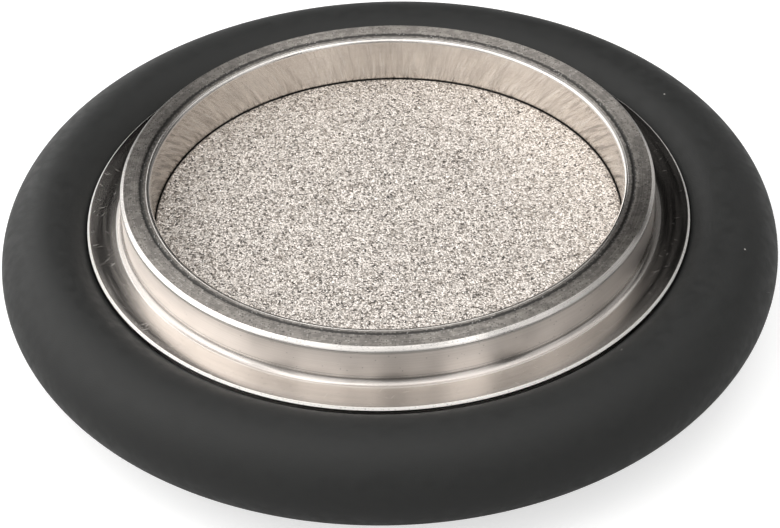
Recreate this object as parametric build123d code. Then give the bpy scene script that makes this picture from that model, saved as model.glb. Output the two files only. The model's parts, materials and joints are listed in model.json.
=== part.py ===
from build123d import *
import math
import os

# A centring ring for a clamped vacuum joint of 25 mm nominal bore, in mm.
# Its axis is Z and its origin is the centre of the ring, at mid-height.
# Both ends are alike, so either face goes up.

# seal
cord_radius = 2.5
seal_squeeze = 1.1
seat_clearance = 0.05

# turned ring
bore_radius = 11.5
wall_thickness = 1.5
lip_height = 2.05
spacer_width = 1.75
seat_land = 0.195

# worked edges of the ring
rim_chamfer = 0.2
root_fillet = 0.35
spacer_chamfer = 0.17
taper_width = 0.55
taper_depth = 0.05
bore_edge_round = 0.17

# porous disc
disc_thickness = 3.14
disc_chamfer = 0.14

# The clamped flanges stop on the spacer and squeeze the cord down to its thickness.
spacer_thickness = 2 * cord_radius - seal_squeeze
ring_height = spacer_thickness + 2 * lip_height

lip_radius = bore_radius + wall_thickness
spacer_radius = lip_radius + spacer_width

# The seat is an arc about the cord's centre that leaves a plain land at each
# edge of the spacer. The land's height says how far out that centre lies.
seat_radius = cord_radius + seat_clearance
seat_half_height = spacer_thickness / 2 - seat_land
seal_radius = spacer_radius + math.sqrt(seat_radius**2 - seat_half_height**2)


def corners(section, radius, height):
    """The pair of corners at this radius, above and below the middle."""

    def is_there(vertex):
        same_radius = math.isclose(vertex.X, radius, abs_tol=1e-5)
        return same_radius and math.isclose(abs(vertex.Y), height, abs_tol=1e-5)

    return section.vertices().filter_by(is_there)


def rim_taper():
    """The sliver turned off the top rim, which falls towards the bore."""
    top = ring_height / 2
    return make_face(
        Polyline(
            (bore_radius, top),
            (bore_radius + taper_width, top),
            (bore_radius, top - taper_depth),
            close=True,
        )
    )


def ring_section():
    """The turned section: X is the radius and Y the height."""
    top = ring_height / 2
    shelf = spacer_thickness / 2
    wall = Pos(bore_radius + wall_thickness / 2, 0) * Rectangle(wall_thickness, ring_height)
    spacer = Pos(lip_radius + spacer_width / 2, 0) * Rectangle(spacer_width, spacer_thickness)
    seat = Pos(seal_radius, 0) * Circle(seat_radius)
    tapers = rim_taper() + mirror(rim_taper(), about=Plane.XZ)

    section = wall + spacer - seat - tapers
    section = chamfer(corners(section, lip_radius, top), rim_chamfer)
    section = fillet(corners(section, bore_radius, top - taper_depth), bore_edge_round)
    section = fillet(corners(section, lip_radius, shelf), root_fillet)
    return chamfer(corners(section, spacer_radius, shelf), min(spacer_chamfer, 0.9 * seat_land))


def centering_ring():
    return revolve(Plane.XZ * ring_section(), Axis.Z)


def o_ring():
    """The cord, stretched lightly into the seat round the spacer."""
    return Torus(seal_radius, cord_radius)


def filter_disc():
    """The porous disc, pressed into the middle of the bore."""
    blank = Cylinder(bore_radius, disc_thickness)
    return chamfer(blank.edges().filter_by(GeomType.CIRCLE), disc_chamfer)


def main():
    os.makedirs("parts", exist_ok=True)
    export_step(centering_ring(), "parts/centering_ring.step")
    export_step(o_ring(), "parts/o_ring.step")
    export_step(filter_disc(), "parts/filter_disc.step")


main()
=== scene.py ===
import json
import math
import bpy
import numpy as np
from mathutils import Matrix, Vector


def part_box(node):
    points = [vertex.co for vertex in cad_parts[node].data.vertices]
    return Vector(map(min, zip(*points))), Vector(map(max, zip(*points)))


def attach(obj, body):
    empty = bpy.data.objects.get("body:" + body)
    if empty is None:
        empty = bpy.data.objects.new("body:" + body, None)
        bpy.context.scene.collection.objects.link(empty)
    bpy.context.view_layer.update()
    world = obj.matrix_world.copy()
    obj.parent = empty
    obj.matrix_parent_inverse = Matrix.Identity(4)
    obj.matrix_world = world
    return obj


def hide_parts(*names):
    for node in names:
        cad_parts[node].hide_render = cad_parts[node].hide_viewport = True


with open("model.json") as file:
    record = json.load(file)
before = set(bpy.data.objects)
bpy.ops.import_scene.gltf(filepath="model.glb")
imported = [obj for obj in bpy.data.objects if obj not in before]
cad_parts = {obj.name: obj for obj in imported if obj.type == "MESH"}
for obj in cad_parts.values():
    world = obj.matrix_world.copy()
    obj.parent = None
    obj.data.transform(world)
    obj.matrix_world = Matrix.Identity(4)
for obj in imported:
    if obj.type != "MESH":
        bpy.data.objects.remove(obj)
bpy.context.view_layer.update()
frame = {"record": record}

mm = 0.001
scene = bpy.context.scene

mounts = {mount["name"]: mount for mount in frame["record"]["mounts"]}
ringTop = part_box("centering_ring")[1] / mm
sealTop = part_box("o_ring")[1] / mm
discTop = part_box("filter_disc")[1] / mm

rimHeight = ringTop.z
spacerRadius = ringTop.x
lipRadius = mounts["upper_lip"]["dims"]["r_mm"]
stopHeight = mounts["upper_stop"]["pos_m"][2] / mm
boreRadius = discTop.x
discHeight = discTop.z
cordRadius = sealTop.z
sealRadius = sealTop.x - cordRadius
print("frame loaded: lip", lipRadius, "spacer", round(spacerRadius, 3))


# A straight run of an outline, its points drawn closer together at both ends.
def straightRun(start, end, count):
    share = (0.5 - 0.5 * np.cos(np.linspace(0, math.pi, count)))[:, None]
    return np.array(start) * (1 - share) + np.array(end) * share


# An arc of an outline about a centre, from one angle to the other in degrees.
def arcRun(centre, radius, fromAngle, toAngle, count):
    angle = np.radians(np.linspace(fromAngle, toAngle, count))
    return np.stack([centre[0] + radius * np.cos(angle), centre[1] + radius * np.sin(angle)], 1)


# The round that is tangent to both sides of a corner: its centre lies on the
# bisector, radius / sin(half the corner's angle) from the corner.
def cornerRound(before, corner, after, radius, count):
    before, corner, after = (np.array(point, float) for point in (before, corner, after))
    back = (before - corner) / np.linalg.norm(before - corner)
    ahead = (after - corner) / np.linalg.norm(after - corner)
    half = 0.5 * math.acos(np.clip(back @ ahead, -1, 1))
    bisector = (back + ahead) / np.linalg.norm(back + ahead)
    centre = corner + bisector * radius / math.sin(half)
    first = corner + back * radius / math.tan(half)
    last = corner + ahead * radius / math.tan(half)
    startAngle = math.atan2(*(first - centre)[::-1])
    turn = math.atan2(*(last - centre)[::-1]) - startAngle
    turn = (turn + math.pi) % (2 * math.pi) - math.pi
    endAngle = startAngle + turn
    return arcRun(centre, radius, math.degrees(startAngle), math.degrees(endAngle), count)


# Joins corners (radius, height, round, its finish, next finish) with straight
# runs and rounds. The next finish is that of the run to the next corner.
def roundedOutline(corners, straightCount, roundCount):
    places = [corner[:2] for corner in corners]
    runs, finishes = [], []
    last = np.array(places[0], float)
    for index in range(1, len(corners)):
        size, roundFinish = corners[index][2:4]
        finish = corners[index - 1][4]
        if size:
            bend = cornerRound(*places[index - 1:index + 2], size, roundCount)
            runs += [straightRun(last, bend[0], straightCount)[1:], bend[1:]]
            finishes.append(np.full(straightCount - 1, finish))
            finishes.append(np.full(roundCount - 1, roundFinish))
            last = bend[-1]
        else:
            runs.append(straightRun(last, places[index], straightCount)[1:])
            finishes.append(np.full(straightCount - 1, finish))
            last = np.array(places[index], float)
    return np.vstack([places[0], *runs]), np.concatenate(finishes)


# Puts vertices and quads into a new object, with a UV for each face corner.
def meshPiece(name, points, quads, uv, finishes, materials):
    mesh = bpy.data.meshes.new(name)
    mesh.from_pydata(points * mm, [], quads)
    mesh.uv_layers.new(name="around").data.foreach_set("uv", uv.ravel())
    mesh.polygons.foreach_set("material_index", np.asarray(finishes, np.int32))
    mesh.polygons.foreach_set("use_smooth", np.ones(len(quads), bool))
    mesh.update()
    piece = bpy.data.objects.new(name, mesh)
    scene.collection.objects.link(piece)
    for material in materials:
        mesh.materials.append(material)
    return piece


# Turns a closed outline round Z: x = r cos a, y = r sin a, z = height. The
# outline runs anticlockwise with radius to the right and height up.
def turnedPiece(name, outline, finishes, materials, sectors):
    rows = len(outline)
    angle = np.arange(sectors) * 2 * math.pi / sectors
    radius, height = outline[:, :1], outline[:, 1:]
    points = np.stack(
        [radius * np.cos(angle), radius * np.sin(angle), height + 0 * angle], -1
    ).reshape(-1, 3)
    row, column = np.meshgrid(np.arange(rows), np.arange(sectors), indexing="ij")
    nextRow, nextColumn = (row + 1) % rows, (column + 1) % sectors
    quads = np.stack(
        [row * sectors + column, row * sectors + nextColumn,
         nextRow * sectors + nextColumn, nextRow * sectors + column], -1
    ).reshape(-1, 4)
    steps = np.linalg.norm(np.roll(outline, -1, axis=0) - outline, axis=1)
    along = np.concatenate([[0], np.cumsum(steps)])
    low, high = along[row], along[row + 1]
    left, right = column / sectors, (column + 1) / sectors
    uv = np.stack([left, low, right, low, right, high, left, high], -1).reshape(-1, 2)
    return meshPiece(name, points, quads, uv, np.repeat(finishes, sectors), materials)


# An empty node group with these inputs, each with its usual value, and outputs.
def newGroup(name, inputs, outputs):
    group = bpy.data.node_groups.new(name, "ShaderNodeTree")
    number = "NodeSocketFloat"
    for socket, value in inputs.items():
        made = group.interface.new_socket(socket, in_out="INPUT", socket_type=number)
        made.default_value = value
    for socket in outputs:
        group.interface.new_socket(socket, in_out="OUTPUT", socket_type=number)
    return group, group.nodes.new("NodeGroupInput"), group.nodes.new("NodeGroupOutput")


def addNode(tree, kind, **settings):
    node = tree.nodes.new(kind)
    for name, value in settings.items():
        setattr(node, name, value)
    return node


# Fills a socket with a link where the value is a socket, and else with the value.
def plug(tree, value, socket):
    if isinstance(value, bpy.types.NodeSocket):
        tree.links.new(value, socket)
    else:
        socket.default_value = value


def maths(tree, operation, first, second=0.0, third=0.0):
    node = addNode(tree, "ShaderNodeMath", operation=operation)
    for value, socket in zip((first, second, third), node.inputs):
        plug(tree, value, socket)
    return node.outputs[0]


# Maps a range of a value onto another range, held at both ends.
def ramp(tree, value, fromLow, fromHigh, toLow=0.0, toHigh=1.0):
    node = addNode(tree, "ShaderNodeMapRange", interpolation_type="SMOOTHSTEP")
    for number, socket in zip((value, fromLow, fromHigh, toLow, toHigh), node.inputs):
        plug(tree, number, socket)
    return node.outputs[0]


def combine(tree, x, y, z):
    node = addNode(tree, "ShaderNodeCombineXYZ")
    for value, socket in zip((x, y, z), node.inputs):
        plug(tree, value, socket)
    return node.outputs[0]


# Place on the object in mm: the point, its x, y and z, and its distance from
# the axis, which is the root of x squared plus y squared.
def placeInMm(tree):
    place = addNode(tree, "ShaderNodeTexCoord").outputs["Object"]
    scaled = addNode(tree, "ShaderNodeVectorMath", operation="SCALE")
    tree.links.new(place, scaled.inputs[0])
    scaled.inputs["Scale"].default_value = 1 / mm
    split = addNode(tree, "ShaderNodeSeparateXYZ")
    tree.links.new(scaled.outputs[0], split.inputs[0])
    x, y, z = split.outputs
    squares = maths(tree, "MULTIPLY_ADD", x, x, maths(tree, "MULTIPLY", y, y))
    radius = maths(tree, "SQRT", squares)
    return {"point": scaled.outputs[0], "x": x, "y": y, "z": z, "radius": radius}


def noise(tree, vector, scale, detail=2.0, roughness=0.5):
    node = addNode(tree, "ShaderNodeTexNoise", noise_dimensions="3D")
    plug(tree, vector, node.inputs["Vector"])
    plug(tree, scale, node.inputs["Scale"])
    node.inputs["Detail"].default_value = detail
    node.inputs["Roughness"].default_value = roughness
    return node.outputs["Fac"]


# Scattered points, one for each cell of this size in mm. It gives the distance
# to the nearest one as a share of the size, and three random draws for it.
def scatteredPoints(tree, place, size):
    cells = addNode(tree, "ShaderNodeTexVoronoi", voronoi_dimensions="3D", feature="F1")
    tree.links.new(place, cells.inputs["Vector"])
    tree.links.new(maths(tree, "DIVIDE", 1.0, size), cells.inputs["Scale"])
    split = addNode(tree, "ShaderNodeSeparateColor")
    tree.links.new(cells.outputs["Color"], split.inputs[0])
    return cells.outputs["Distance"], split.outputs


# Lathe lines: noise drawn out round the axis. It changes once a pitch across
# the lines, by radius on a face and by height on a wall, and slowly along them.
# Waves are the same noise, but only waveShare as fast across the lines.
def makeTurningLines():
    waveShare = 0.15
    inputs = {"Pitch": 0.05, "Breaks": 0.15}
    tree, given, out = newGroup("turningLines", inputs, ["Lines", "Waves"])
    at = placeInMm(tree)
    across = maths(tree, "SUBTRACT", at["radius"], at["z"])
    across = maths(tree, "DIVIDE", across, given.outputs["Pitch"])
    slowX = maths(tree, "MULTIPLY", at["x"], given.outputs["Breaks"])
    slowY = maths(tree, "MULTIPLY", at["y"], given.outputs["Breaks"])
    place = combine(tree, across, slowX, slowY)
    tree.links.new(noise(tree, place, 1.0, detail=3.0, roughness=0.6), out.inputs["Lines"])
    place = combine(tree, maths(tree, "MULTIPLY", across, waveShare), slowX, slowY)
    tree.links.new(noise(tree, place, 1.0), out.inputs["Waves"])
    return tree


# Fine straight scratches: noise drawn out one way, cut off near its crest.
# Three sets lie at different angles, and a shift gives each its own noise.
def makeScratches():
    acrossRate, alongRate = 24.0, 1.1     # how fast the noise changes to the mm
    crest = 0.84
    tree, given, out = newGroup("scratches", {"Scale": 1.0, "Amount": 0.5}, ["Mask"])
    place = placeInMm(tree)["point"]
    masks = []
    for angle, shift in ((0.6, 3.0), (2.2, 11.0), (1.3, 23.0)):
        turned = addNode(tree, "ShaderNodeVectorRotate", rotation_type="Z_AXIS")
        tree.links.new(place, turned.inputs["Vector"])
        turned.inputs["Angle"].default_value = angle
        split = addNode(tree, "ShaderNodeSeparateXYZ")
        tree.links.new(turned.outputs[0], split.inputs[0])
        across = maths(tree, "MULTIPLY", split.outputs[0], acrossRate)
        along = maths(tree, "MULTIPLY", split.outputs[1], alongRate)
        drawn = combine(tree, across, along, shift)
        field = noise(tree, drawn, given.outputs["Scale"], detail=1.0)
        foot = maths(tree, "SUBTRACT", crest, given.outputs["Amount"])
        masks.append(ramp(tree, field, foot, crest))
    most = maths(tree, "MAXIMUM", masks[0], maths(tree, "MAXIMUM", masks[1], masks[2]))
    tree.links.new(most, out.inputs["Mask"])
    return tree


# Small pits or grains round scattered points. Dome is 1 at a point and falls to
# 0 at domeReach of the size. Share is a random draw for each grain, and so are
# the two tilts, from -0.5 to 0.5. Cloud is soft noise of scale cloudRate / size.
def makeGrains():
    domeReach, cloudRate = 0.9, 0.12
    outputs = ["Dome", "Share", "TiltX", "TiltY", "Cloud"]
    tree, given, out = newGroup("grains", {"Size": 0.15}, outputs)
    place = placeInMm(tree)["point"]
    distance, draws = scatteredPoints(tree, place, given.outputs["Size"])
    tree.links.new(ramp(tree, distance, 0.0, domeReach, 1.0, 0.0), out.inputs["Dome"])
    tree.links.new(draws[0], out.inputs["Share"])
    for draw, socket in zip(draws[1:], ("TiltX", "TiltY")):
        tree.links.new(maths(tree, "SUBTRACT", draw, 0.5), out.inputs[socket])
    cloudScale = maths(tree, "DIVIDE", cloudRate, given.outputs["Size"])
    tree.links.new(noise(tree, place, cloudScale), out.inputs["Cloud"])
    return tree


# Dust: scattered points of a size in mm, of which a random share is kept.
def makeDust():
    inputs = {"Spacing": 1.0, "Share": 0.1, "Size": 0.06}
    tree, given, out = newGroup("dust", inputs, ["Mask"])
    distance, draws = scatteredPoints(tree, placeInMm(tree)["point"], given.outputs["Spacing"])
    reach = maths(tree, "DIVIDE", given.outputs["Size"], given.outputs["Spacing"])
    spot = maths(tree, "LESS_THAN", distance, reach)
    kept = maths(tree, "LESS_THAN", draws[0], given.outputs["Share"])
    tree.links.new(maths(tree, "MULTIPLY", spot, kept), out.inputs["Mask"])
    return tree


turningLines, scratches = makeTurningLines(), makeScratches()
grains, dust = makeGrains(), makeDust()
print("effects built: turning lines, scratches, grains, dust")


def newMaterial(name):
    material = bpy.data.materials.new(name)
    material.use_nodes = True
    tree = material.node_tree
    return material, tree, tree.nodes["Principled BSDF"]


def useGroup(tree, group, **values):
    node = addNode(tree, "ShaderNodeGroup", node_tree=group)
    for name, value in values.items():
        plug(tree, value, node.inputs[name])
    return node.outputs


def blendColours(tree, share, first, second):
    node = addNode(tree, "ShaderNodeMix", data_type="RGBA")
    plug(tree, share, node.inputs["Factor"])
    for value, socket in ((first, node.inputs["A"]), (second, node.inputs["B"])):
        isSocket = isinstance(value, bpy.types.NodeSocket)
        plug(tree, value if isSocket else (*value, 1.0), socket)
    return node.outputs["Result"]


# A bump that is depth mm deep, over the normal under it if there is one.
def relief(tree, height, depth, under=None):
    node = addNode(tree, "ShaderNodeBump")
    node.inputs["Strength"].default_value = 1.0
    node.inputs["Distance"].default_value = depth * mm
    tree.links.new(height, node.inputs["Height"])
    if under:
        tree.links.new(under, node.inputs["Normal"])
    return node.outputs["Normal"]


# Colours that the dark and light marks blend towards; the dark one also makes painted shade, and
# the light one painted highlights.
markAndLightColours = {
    "pitAndShade": (0.10, 0.095, 0.09),
    "scuffAndHighlight": (0.85, 0.83, 0.80),
}


# A mask of specks: a share of the grains of this size in mm, each of them full
# where its dome is over 0.8 and gone where it is under 0.45.
def pitMask(tree, size, share):
    pits = useGroup(tree, grains, Size=size)
    chosen = maths(tree, "LESS_THAN", pits["Share"], share)
    return maths(tree, "MULTIPLY", chosen, ramp(tree, pits["Dome"], 0.45, 0.8))


# A thin line: one at the middle, and nothing beyond its width to either side.
def lineMask(tree, place, middle, width):
    off = maths(tree, "ABSOLUTE", maths(tree, "SUBTRACT", place, middle))
    return ramp(tree, off, 0.4 * width, width, 1.0, 0.0)


# The worn groove of the cutting tool: dark within a narrow band about a
# radius, which noise moves in and out by up to 0.75 of the width.
def toolLineMask(tree, middle, width):
    wander = 1.5 * width
    at = placeInMm(tree)
    ragged = noise(tree, at["point"], 6.0, detail=3.0)
    off = maths(tree, "ABSOLUTE", maths(tree, "SUBTRACT", at["radius"], middle))
    off = maths(tree, "MULTIPLY_ADD", maths(tree, "SUBTRACT", ragged, 0.5), wander, off)
    return ramp(tree, off, 0.4 * width, 0.9 * width, 1.0, 0.0)


# Turned steel: lathe lines vary its tone, roughness and relief, and scratches
# are rougher and cut in. The anisotropy follows the lines round the axis.
def turnedSteel(name, look, marksAndLight):
    scratchRoughness, scratchDepth = 0.3, -0.001
    material, tree, shader = newMaterial(name)
    shader.inputs["Metallic"].default_value = 1.0
    shader.inputs["Anisotropic"].default_value = look["anisotropy"]
    shader.inputs["Anisotropic Rotation"].default_value = 0.25
    tangent = addNode(tree, "ShaderNodeTangent", direction_type="RADIAL", axis="Z")
    tree.links.new(tangent.outputs[0], shader.inputs["Tangent"])

    lines = useGroup(tree, turningLines, Pitch=look["pitch"])
    scratch = useGroup(tree, scratches, Amount=look["scratches"])["Mask"]
    tone = ramp(tree, lines["Lines"], 0.25, 0.75)
    colour = blendColours(tree, tone, look["shade"], look["bright"])
    # dark and light marks; on some finishes they are painted shade and painted highlights
    dark, light = marksAndLight(tree)
    colour = blendColours(tree, dark, colour, markAndLightColours["pitAndShade"])
    colour = blendColours(tree, light, colour, markAndLightColours["scuffAndHighlight"])
    tree.links.new(colour, shader.inputs["Base Color"])
    rough = ramp(tree, lines["Waves"], 0.3, 0.7, *look["roughness"])
    rough = maths(tree, "MULTIPLY_ADD", scratch, scratchRoughness, rough)
    tree.links.new(rough, shader.inputs["Roughness"])
    normal = relief(tree, lines["Lines"], look["lineDepth"])
    tree.links.new(relief(tree, scratch, scratchDepth, normal), shader.inputs["Normal"])
    return material


# Each finish's marks and painted light: the dark ones, then the light ones.
def rimMarks(tree):
    smallPits = pitMask(tree, size=0.10, share=0.4)
    pits = maths(tree, "MAXIMUM", smallPits, pitMask(tree, size=0.17, share=0.1))
    cloud = ramp(tree, useGroup(tree, grains, Size=0.05)["Cloud"], 0.35, 0.62, 0.4, 0.0)
    dark = maths(tree, "MAXIMUM", maths(tree, "MULTIPLY", pits, 0.7), cloud)
    lineMiddle = boreRadius + ring["grooveFrom"] + ring["grooveWidth"] / 2
    dark = maths(tree, "MAXIMUM", dark, toolLineMask(tree, lineMiddle, ring["wornWidth"]))
    return dark, maths(tree, "MULTIPLY", pitMask(tree, size=0.11, share=0.15), 0.4)


def edgeMarks(tree):
    return maths(tree, "MULTIPLY", pitMask(tree, size=0.09, share=0.35), 0.25), 0.0


# A few pits, and painted shade in a thin line just above the root and below the chamfer.
def wallPitsAndShade(tree):
    up = maths(tree, "ABSOLUTE", placeInMm(tree)["z"])
    rootEnd, chamferEnd = stopHeight + ring["rootFillet"], rimHeight - ring["rimChamfer"]
    rootShadeLine = lineMask(tree, up, middle=rootEnd + 0.05, width=0.03)
    chamferShadeLine = lineMask(tree, up, middle=chamferEnd - 0.09, width=0.08)
    lines = maths(tree, "MAXIMUM", rootShadeLine, chamferShadeLine)
    dark = maths(tree, "MAXIMUM", pitMask(tree, size=0.10, share=0.03), lines)
    return maths(tree, "MULTIPLY", dark, 0.3), 0.0


def spacerMarks(tree):
    specks = useGroup(tree, dust, Spacing=0.45, Share=0.16, Size=0.03)["Mask"]
    pits = maths(tree, "MULTIPLY", pitMask(tree, size=0.10, share=0.03), 0.3)
    return pits, maths(tree, "MULTIPLY", specks, 0.8)


# The root's round gets painted shade, with a painted highlight line near both of its ends.
def rootShadeAndHighlights(tree):
    shade, inset, width = 0.42, 0.03, 0.04
    at = placeInMm(tree)
    up = maths(tree, "ABSOLUTE", at["z"])
    wallEndHighlight = lineMask(tree, up, stopHeight + ring["rootFillet"] - inset, width)
    stopEndHighlight = lineMask(tree, at["radius"], lipRadius + ring["rootFillet"] - inset, width)
    return shade, maths(tree, "MULTIPLY", maths(tree, "MAXIMUM", wallEndHighlight, stopEndHighlight), 0.6)


# Painted reflections of the disc's grains: streaks that fan out over the bore from
# the disc's edge, noise of the angle of rise over x, where rise is riseByDepth |y| +
# riseByHeight times the height over the disc. They are strongest at both sides, by a
# power of |x| / bore radius. Painted shade darkens the bore just over the disc.
boreReflectionStreaks = {
    "riseByDepth": 0.62,
    "riseByHeight": 0.78,
    "angleRate": 60.0,       # how fast the noise changes to the radian
    "heightRate": 0.6,       # and to the mm of height
    "sidePower": 4.0,
    "dark": (0.4, 0.12),     # what the sides add, and the share elsewhere
    "light": (0.25, 0.4),
    "shadowHeight": 0.05,    # mm of shade over the disc
}


def borePaintedLight(tree):
    look = boreReflectionStreaks
    at = placeInMm(tree)
    up = maths(tree, "ABSOLUTE", at["z"])
    overDisc = maths(tree, "SUBTRACT", up, discHeight)
    rise = maths(tree, "MULTIPLY", overDisc, look["riseByHeight"])
    depth = maths(tree, "ABSOLUTE", at["y"])
    rise = maths(tree, "MULTIPLY_ADD", depth, look["riseByDepth"], rise)
    fan = maths(tree, "MULTIPLY", maths(tree, "ARCTAN2", rise, at["x"]), look["angleRate"])
    place = combine(tree, fan, maths(tree, "MULTIPLY", up, look["heightRate"]), 0.0)
    streaks = noise(tree, place, 1.0, detail=2.0, roughness=0.6)
    across = maths(tree, "ABSOLUTE", maths(tree, "DIVIDE", at["x"], boreRadius))
    side = maths(tree, "POWER", across, look["sidePower"])
    darkShare = maths(tree, "MULTIPLY_ADD", side, *look["dark"])
    dark = maths(tree, "MULTIPLY", ramp(tree, streaks, 0.38, 0.52, 1.0, 0.0), darkShare)
    lightShare = maths(tree, "MULTIPLY_ADD", side, *look["light"])
    light = maths(tree, "MULTIPLY", ramp(tree, streaks, 0.56, 0.68), lightShare)
    # painted shade on the bore just over the disc
    discShade = ramp(tree, up, discHeight, discHeight + look["shadowHeight"], 1.0, 0.0)
    light = maths(tree, "MULTIPLY", light, maths(tree, "SUBTRACT", 1.0, discShade))
    return maths(tree, "MAXIMUM", dark, discShade), light


# Painted shade darkens the land under the spacer's edge, where the seal starts.
def landPaintedShade(tree):
    return 0.8, 0.0


# Each finish's tones, roughness from low to high, the pitch and depth in mm of
# its lathe lines, and how anisotropic and how scratched it is.
def steelFinish(bright, shade, roughness, pitch, lineDepth, anisotropy, scratches):
    return {
        "bright": bright, "shade": shade, "roughness": roughness, "pitch": pitch,
        "lineDepth": lineDepth, "anisotropy": anisotropy, "scratches": scratches,
    }


# Lighter and darker copies of one steel: part of each finish's tone is painted light, the edge
# tones are painted highlights on the rim's chamfer and small rounds, and the near-white tones on
# the spacer's chamfer are a painted highlight.
wallTones = (0.86, 0.80, 0.755), (0.80, 0.74, 0.695)
spacerTones = (0.65, 0.61, 0.57), (0.59, 0.55, 0.515)
rimTones = (0.52, 0.485, 0.445), (0.33, 0.305, 0.285)
edgeHighlightTones = (0.76, 0.73, 0.70), (0.64, 0.61, 0.58)
boreTones = (0.73, 0.675, 0.62), (0.66, 0.61, 0.56)
highlightTones = (0.97, 0.96, 0.94), markAndLightColours["scuffAndHighlight"]

# in the order of the finishes' numbers in the ring's outline
steelFinishes = {
    "turnedWall": (steelFinish(*wallTones, (0.28, 0.34), 0.06, 0.0003, 1.0, 0.02), wallPitsAndShade),
    "mattRim": (steelFinish(*rimTones, (0.50, 0.56), 0.05, 0.0006, 0.95, 0.04), rimMarks),
    "highlightedEdge": (steelFinish(*edgeHighlightTones, (0.20, 0.30), 0.05, 0.0005, 0.4, 0.03), edgeMarks),
    "polishedSpacer": (
        steelFinish(*spacerTones, (0.15, 0.22), 0.04, 0.0003, 0.8, 0.12), spacerMarks
    ),
    "turnedBore": (steelFinish(*boreTones, (0.22, 0.27), 0.06, 0.0002, 1.0, 0.02), borePaintedLight),
    "turnedRoot": (steelFinish(*wallTones, (0.20, 0.30), 0.04, 0.0003, 0.8, 0.02), rootShadeAndHighlights),
    "shadedLand": (steelFinish(*spacerTones, (0.20, 0.30), 0.04, 0.0003, 0.4, 0.02), landPaintedShade),
    "paintedHighlightEdge": (steelFinish(*highlightTones, (0.70, 0.80), 0.05, 0.0003, 0.3, 0.02), edgeMarks),
}


def makeSteelFinishes():
    return [turnedSteel(name, look, marksAndLight) for name, (look, marksAndLight) in steelFinishes.items()]


ring = {
    "sectors": 480,
    "straightPoints": 4,     # points along each straight run, round and the seat
    "roundPoints": 6,
    "seatPoints": 16,
    "rimChamfer": 0.2,       # mm, like all the lengths here
    "chamferRound": 0.05,
    "wallRound": 0.12,       # where the chamfer meets the wall
    "rootFillet": 0.35,
    "spacerChamfer": 0.11,
    "spacerRounds": (0.04, 0.02),
    "taperWidth": 0.55,      # the rim falls to the bore over this width
    "taperDepth": 0.05,
    "boreRound": 0.17,
    "ridgeFrom": 0.18,       # a burr left where the bore's round starts
    "ridgeWidth": 0.045,
    "ridgeHeight": 0.012,
    "ridgeRound": 0.02,
    "grooveFrom": 0.39,      # the worn groove, from the bore outwards
    "grooveWidth": 0.14,
    "grooveDepth": 0.03,
    "grooveRound": 0.04,
    "wornWidth": 0.16,       # the dark line that the groove shows as
    "seatClearance": 0.05,
}


# The ring's outline, from the bore over the rim and the spacer to the middle of
# the seat, and mirrored below. The seat is an arc about the seal's middle.
def ringOutline():
    top, stop = rimHeight, stopHeight
    seatRadius = cordRadius + ring["seatClearance"]
    seatEdge = math.sqrt(seatRadius**2 - (sealRadius - spacerRadius) ** 2)
    taperStart = boreRadius + ring["taperWidth"]
    burr, burrEnd = (boreRadius + ring["ridgeFrom"] + part * ring["ridgeWidth"] for part in (0, 1))
    groove = boreRadius + ring["grooveFrom"]
    grooveEnd = groove + ring["grooveWidth"]

    # height of the rim at a radius, raised by some mm
    def onTaper(radius, raised=0.0):
        return top - ring["taperDepth"] * (taperStart - radius) / ring["taperWidth"] + raised

    wall, rim, edge, spacer, bore, root, land, bright = range(8)
    corners = [
        (boreRadius, 0, 0, bore, bore),
        (boreRadius, onTaper(boreRadius), ring["boreRound"], edge, rim),
        (burr, onTaper(burr), 0, edge, edge),
        ((burr + burrEnd) / 2, onTaper(burr, ring["ridgeHeight"]), ring["ridgeRound"], edge, edge),
        (burrEnd, onTaper(burr), 0, rim, rim),
        (groove, onTaper(groove), 0, rim, rim),
        (
            (groove + grooveEnd) / 2, onTaper(groove, -ring["grooveDepth"]),
            ring["grooveRound"], rim, rim,
        ),
        (grooveEnd, onTaper(groove), 0, rim, rim),
        (taperStart, top, 0, rim, rim),
        (lipRadius - ring["rimChamfer"], top, ring["chamferRound"], rim, edge),
        (lipRadius, top - ring["rimChamfer"], ring["wallRound"], edge, wall),
        (lipRadius, stop, ring["rootFillet"], root, spacer),
        (spacerRadius - ring["spacerChamfer"], stop, ring["spacerRounds"][0], spacer, bright),
        (spacerRadius, stop - ring["spacerChamfer"], ring["spacerRounds"][1], land, land),
        (spacerRadius, seatEdge, 0, land, land),
    ]
    upper, finishes = roundedOutline(corners, ring["straightPoints"], ring["roundPoints"])
    seatAngle = math.degrees(math.atan2(seatEdge, spacerRadius - sealRadius))
    seat = arcRun((sealRadius, 0), seatRadius, seatAngle, 180, ring["seatPoints"])
    upper = np.vstack([upper, seat[1:]])
    finishes = np.append(finishes, np.full(len(seat) - 1, wall))
    lower = upper[::-1] * (1, -1)
    # turned round, so that it runs anticlockwise
    outline = np.vstack([upper, lower[1:-1]])[::-1]
    return outline, np.roll(np.append(finishes, finishes[::-1])[::-1], -1)


outline, finishes = ringOutline()
steels = makeSteelFinishes()
turnedRing = turnedPiece("turned_ring", outline, finishes, steels, ring["sectors"])
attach(turnedRing, "root")
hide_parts("centering_ring")
print("turned ring:", len(outline), "rows by", ring["sectors"], "sectors")

seal = {
    "sectors": 480,
    "cordSides": 96,
    "colour": (0.0215, 0.022, 0.0215),
    "cloudBrightness": 1.5,
    "dustColour": (0.35, 0.34, 0.32),
    "seatShadeColour": (0.002, 0.002, 0.002),
    # painted shade on the cord beside the seat
    "seatShade": (0.04, 0.13),   # mm beyond the spacer, dark to light
    "skinGrain": 0.07,           # mm
    "skinDepth": 0.002,
    "roughness": (0.46, 0.6),
    "scuffGloss": -0.15,         # what a scuff adds to the roughness
    "flat": 0.07,                # mm by which the seat presses the cord's inner side
    "flatFrom": 105,             # degrees from the cord's outer side
    "flatEase": 35,
}


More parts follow.
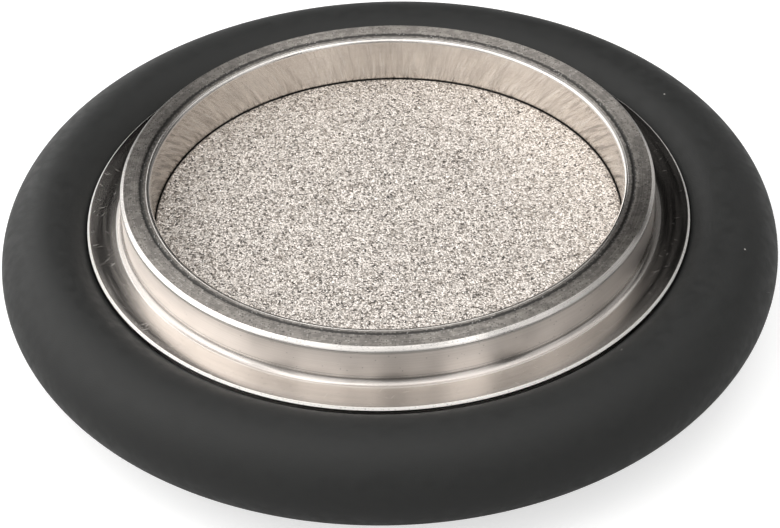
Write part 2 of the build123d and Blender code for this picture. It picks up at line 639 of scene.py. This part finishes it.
def sealRubber():
    material, tree, shader = newMaterial("mattRubber")
    shader.inputs["Specular IOR Level"].default_value = 0.2
    shader.inputs["Sheen Weight"].default_value = 0.03
    shader.inputs["Sheen Roughness"].default_value = 0.4
    skin = useGroup(tree, grains, Size=seal["skinGrain"])
    specks = useGroup(tree, dust, Spacing=1.3, Share=0.05, Size=0.05)["Mask"]
    scuffs = useGroup(tree, scratches, Scale=0.5, Amount=0.03)["Mask"]
    cloudColour = tuple(seal["cloudBrightness"] * part for part in seal["colour"])
    broad = ramp(tree, skin["Cloud"], 0.3, 0.7, 0.0, 0.25)
    colour = blendColours(tree, broad, seal["colour"], cloudColour)
    colour = blendColours(tree, specks, colour, seal["dustColour"])
    # painted shade: near black just beyond the spacer's edge, where the cord meets the seat
    beyond = maths(tree, "SUBTRACT", placeInMm(tree)["radius"], spacerRadius)
    shade = ramp(tree, beyond, *seal["seatShade"], 1.0, 0.0)
    colour = blendColours(tree, shade, colour, seal["seatShadeColour"])
    tree.links.new(colour, shader.inputs["Base Color"])
    rough = ramp(tree, skin["Cloud"], 0.3, 0.7, *seal["roughness"])
    rough = maths(tree, "MAXIMUM", rough, shade)
    rough = maths(tree, "MULTIPLY_ADD", scuffs, seal["scuffGloss"], rough)
    tree.links.new(rough, shader.inputs["Roughness"])
    tree.links.new(relief(tree, skin["Dome"], seal["skinDepth"]), shader.inputs["Normal"])
    return material


# The cord's section: a circle whose radius is less by the flat where it faces
# the seat, eased in by 3t^2 - 2t^3 over the angles from its outer side.
def cordSides():
    circle = arcRun((0, 0), 1, 0, 360, seal["cordSides"] + 1)[:-1]
    turn = np.degrees(np.arccos(np.clip(circle[:, :1], -1, 1)))
    eased = np.clip((turn - seal["flatFrom"]) / seal["flatEase"], 0, 1)
    radius = cordRadius - seal["flat"] * eased**2 * (3 - 2 * eased)
    return circle * radius + (sealRadius, 0)


sides = cordSides()
rubber = [sealRubber()]
cordRing = turnedPiece("seal_cord", sides, np.zeros(len(sides)), rubber, seal["sectors"])
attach(cordRing, "root")
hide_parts("o_ring")
print("seal:", seal["cordSides"], "sides by", seal["sectors"], "sectors")

disc = {
    "across": 216,           # points across each face
    "gap": 0.04,             # mm between the disc's edge and the bore
    "edgeRound": 0.05,
    "grainPitch": 0.24,
    "grainHeight": 0.022,
    "seed": 25,
    "light": (1.0, 0.935, 0.88),
    "dark": (0.35, 0.305, 0.265),
    "pore": (0.03, 0.03, 0.03),
    "poreShade": 0.8,
    "poreShare": 0.045,      # of the fine grains
    "poreLevel": 0.3,        # the share plus the dome of a coarse grain, below it
    # painted shade at the disc's edge, in the crevice by the bore
    "creviceShade": (0.08, 0.05), # mm in from the bore, where the edge turns dark
    "coarseGrain": 0.14,
    "fineGrain": 0.07,
    "fineDepth": 0.02,
    "metallic": 0.8,
    "roughness": (0.25, 0.6),
    "facet": 0.95,           # how far each grain leans over
}


# Each grain is a cap about a scattered point: 0.6 (1 - d^2) + 0.4 of its own
# level, where d is the distance to the nearest point, in grains.
def grainCaps(x, y, pitch, seed):
    tile, farthest = 128, 1.2
    draw = np.random.default_rng(seed).random((3, tile, tile))
    column, row = np.floor(x / pitch).astype(int), np.floor(y / pitch).astype(int)
    nearest, level = np.full(x.shape, 9.0), np.zeros(x.shape)
    for stepX in (-1, 0, 1):
        for stepY in (-1, 0, 1):
            cell = (column + stepX) % tile, (row + stepY) % tile
            jitterX, jitterY, ownLevel = draw[:, cell[0], cell[1]]
            distance = np.hypot(
                x / pitch - column - stepX - jitterX, y / pitch - row - stepY - jitterY
            )
            closer = distance < nearest
            nearest = np.where(closer, distance, nearest)
            level = np.where(closer, ownLevel, level)
    return 0.6 * (1 - np.clip(nearest, 0, farthest) ** 2) + 0.4 * level


# A square grid pressed into a round one: each square ring of points becomes a
# circle of the same width, so the points stay evenly spread.
def roundGrid(count, radius):
    a, b = np.meshgrid(np.linspace(-1, 1, count), np.linspace(-1, 1, count), indexing="ij")
    reach = np.maximum(abs(a), abs(b))
    wide = abs(a) > abs(b)
    safeA, safeB = np.where(a == 0, 1, a), np.where(b == 0, 1, b)
    angle = np.where(wide, math.pi / 4 * b / safeA, math.pi / 2 - math.pi / 4 * a / safeB)
    signed = np.where(wide, a, b)
    return radius * signed * np.cos(angle), radius * signed * np.sin(angle), reach * radius


# Sintered grains: each has its own tone and painted shade at its border, leans its own way
# so that it catches its own light, and a few are black pores. Painted shade darkens the
# edge near the bore.
def sinteredSteel():
    material, tree, shader = newMaterial("sinteredGrains")
    shader.inputs["Metallic"].default_value = disc["metallic"]
    coarse = useGroup(tree, grains, Size=disc["coarseGrain"])
    fine = useGroup(tree, grains, Size=disc["fineGrain"])
    tone = ramp(tree, fine["Share"], 0.02, 0.5)
    borderShade = ramp(tree, fine["Dome"], 0.12, 0.4, 0.45, 1.0)
    tone = maths(tree, "MULTIPLY", tone, borderShade)
    colour = blendColours(tree, tone, disc["dark"], disc["light"])

    level = maths(tree, "ADD", coarse["Share"], coarse["Dome"])
    coarsePore = maths(tree, "LESS_THAN", level, disc["poreLevel"])
    finePore = maths(tree, "LESS_THAN", fine["Share"], disc["poreShare"])
    pore = maths(tree, "MAXIMUM", coarsePore, finePore)
    creviceFrom, creviceTo = (boreRadius - inset for inset in disc["creviceShade"])
    creviceShade = ramp(tree, placeInMm(tree)["radius"], creviceFrom, creviceTo)
    poresAndCreviceShade = maths(tree, "MAXIMUM", maths(tree, "MULTIPLY", pore, disc["poreShade"]), creviceShade)
    colour = blendColours(tree, poresAndCreviceShade, colour, disc["pore"])
    tree.links.new(colour, shader.inputs["Base Color"])
    rough = ramp(tree, coarse["Share"], 0.0, 1.0, *disc["roughness"])
    tree.links.new(rough, shader.inputs["Roughness"])

    lean = [maths(tree, "MULTIPLY", fine[tilt], disc["facet"]) for tilt in ("TiltX", "TiltY")]
    leant = addNode(tree, "ShaderNodeVectorMath", operation="ADD")
    tree.links.new(addNode(tree, "ShaderNodeNewGeometry").outputs["Normal"], leant.inputs[0])
    tree.links.new(combine(tree, *lean, 0.0), leant.inputs[1])
    facet = addNode(tree, "ShaderNodeVectorMath", operation="NORMALIZE")
    tree.links.new(leant.outputs[0], facet.inputs[0])
    bumps = relief(tree, fine["Dome"], disc["fineDepth"], facet.outputs[0])
    tree.links.new(bumps, shader.inputs["Normal"])
    return material


# Both faces of the disc and the band between them. A face is a round grid with
# grain caps on it, and falls at its edge by r - root(r^2 - d^2), where d is how
# far a point lies beyond the start of the edge's round.
def discMesh():
    count, radius = disc["across"], boreRadius - disc["gap"]
    x, y, reach = roundGrid(count, radius)
    flat = radius - disc["edgeRound"]
    over = np.clip(reach - flat, 0, disc["edgeRound"])
    fall = disc["edgeRound"] - np.sqrt(disc["edgeRound"] ** 2 - over**2)
    caps = disc["grainHeight"] * grainCaps(x, y, disc["grainPitch"], disc["seed"])
    caps *= np.clip((radius - reach) / disc["edgeRound"], 0, 1)
    height = discHeight - disc["grainHeight"] + caps - fall
    face = np.stack([x, y, height], -1).reshape(-1, 3)
    points = np.vstack([face, face * (1, 1, -1)])
    grid = np.arange(count * count).reshape(count, count)
    top = np.stack([grid[:-1, :-1], grid[1:, :-1], grid[1:, 1:], grid[:-1, 1:]], -1)
    top = top.reshape(-1, 4)
    rim = np.concatenate([grid[:-1, 0], grid[-1, :-1], grid[:0:-1, -1], grid[0, :0:-1]])
    ahead = np.roll(rim, -1)
    side = np.stack([rim, rim + count**2, ahead + count**2, ahead], -1)
    quads = np.vstack([top, top[:, ::-1] + count**2, side])
    uv = points[quads][:, :, :2] / radius * 0.5 + 0.5
    return points, quads, uv


points, quads, uv = discMesh()
sinter = [sinteredSteel()]
porousDisc = meshPiece("porous_disc", points, quads, uv, np.zeros(len(quads)), sinter)
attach(porousDisc, "root")
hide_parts("filter_disc")
print("porous disc:", len(quads), "faces")

studio = {
    "floorSize": 3.0,        # metres
    "floorColour": (0.6, 0.6, 0.6),
    "floorGap": 0.01,        # mm below the ring's lower rim
    "floorGlow": 0.62,       # whitens the floor without lighting the ring
    "roomGlow": 0.9,         # the same for the room behind it
    # rings of soft panels that face the ring: their elevation, width and height,
    # and the brightness of each, anticlockwise from azimuth -180; 0 leaves one out
    "panelDistance": 0.4,
    "panelRings": {
        "horizon": (4, 0.215, 0.055, (
            0.55, 0.65, 0.25, 0.0, 0.15, 0.1, 0.0, 0.5, 0.8, 0.15, 2.6, 1.1,
        )),
        "low": (28, 0.108, 0.32, (
            2.0, 1.95, 1.55, 0.6, 1.05, 0.85, 0.25, 0.5, 1.3, 0.1, 0.8, 0.55,
            0.4, 0.5, 0.0, 0.15, 0.2, 0.0, 0.0, 0.0, 1.75, 1.4, 1.75, 2.0,
        )),
        "high": (62, 0.16, 0.24, (1.8, 1.8, 1.3, 1.6, 1.2, 1.3, 0.3, 0.8)),
        "top": (90, 0.2, 0.2, (1.15,)),
    },
    "warmth": (1.0, 0.995, 0.985),
}


def makeFloor():
    half = studio["floorSize"] / 2
    height = -(rimHeight + studio["floorGap"]) * mm
    signs = (-1, -1), (1, -1), (1, 1), (-1, 1)
    corners = [(half * signX, half * signY, height) for signX, signY in signs]
    mesh = bpy.data.meshes.new("studio_floor")
    mesh.from_pydata(corners, [], [(0, 1, 2, 3)])
    floor = bpy.data.objects.new("studio_floor", mesh)
    scene.collection.objects.link(floor)
    material, tree, shader = newMaterial("paleFloor")
    shader.inputs["Base Color"].default_value = (*studio["floorColour"], 1)
    shader.inputs["Roughness"].default_value = 0.9
    shader.inputs["Specular IOR Level"].default_value = 0.0
    shader.inputs["Emission Color"].default_value = (1, 1, 1, 1)
    seen = addNode(tree, "ShaderNodeLightPath").outputs["Is Camera Ray"]
    glow = maths(tree, "MULTIPLY", seen, studio["floorGlow"])
    tree.links.new(glow, shader.inputs["Emission Strength"])
    mesh.materials.append(material)


# A square panel that faces the ring. Brightness is what a mirror would show of
# it, so its power is brightness times pi times its area.
def softPanel(name, azimuth, elevation, width, height, brightness):
    light = bpy.data.lights.new(name, "AREA")
    light.shape = "RECTANGLE"
    light.size, light.size_y = width, height
    light.energy = brightness * math.pi * width * height
    light.color = studio["warmth"]
    lamp = bpy.data.objects.new(name, light)
    scene.collection.objects.link(lamp)
    lamp.visible_camera = False
    around, up = math.radians(azimuth), math.radians(elevation)
    level = math.cos(up)
    place = Vector((math.cos(around) * level, math.sin(around) * level, math.sin(up)))
    lamp.location = place * studio["panelDistance"]
    lamp.rotation_euler = place.to_track_quat("Z", "Y").to_euler()


def makePanels():
    for name, (elevation, width, height, levels) in studio["panelRings"].items():
        for index, brightness in enumerate(levels):
            if brightness:
                azimuth = -180 + 360 * index / len(levels)
                softPanel(f"{name}Panel{index}", azimuth, elevation, width, height, brightness)


def makeRoom():
    world = bpy.data.worlds.new("room")
    scene.world = world
    world.use_nodes = True
    tree = world.node_tree
    background = tree.nodes["Background"]
    background.inputs["Color"].default_value = (*studio["warmth"], 1)
    seen = addNode(tree, "ShaderNodeLightPath").outputs["Is Camera Ray"]
    glow = maths(tree, "MULTIPLY", seen, studio["roomGlow"])
    tree.links.new(glow, background.inputs["Strength"])


view = {
    "place": (0.0, -102.78, 81.84),   # mm
    "aim": (0.0, -2.06, 0.0),
    "roll": -1.94,                    # degrees
    "lens": 122.4,
    "sensor": 36,
    "clip": (0.001, 10),              # metres
}


def makeCamera():
    lens = bpy.data.cameras.new("studio_camera")
    lens.lens, lens.sensor_width = view["lens"], view["sensor"]
    lens.clip_start, lens.clip_end = view["clip"]
    camera = bpy.data.objects.new("studio_camera", lens)
    scene.collection.objects.link(camera)
    place, aim = Vector(view["place"]) * mm, Vector(view["aim"]) * mm
    turn = (aim - place).to_track_quat("-Z", "Y").to_matrix().to_4x4()
    roll = Matrix.Rotation(math.radians(view["roll"]), 4, "Z")
    camera.matrix_world = Matrix.Translation(place) @ turn @ roll
    scene.camera = camera


makeFloor()
makeRoom()
makePanels()
makeCamera()
scene.view_settings.view_transform = "Standard"
print("studio set: floor, panels and camera")
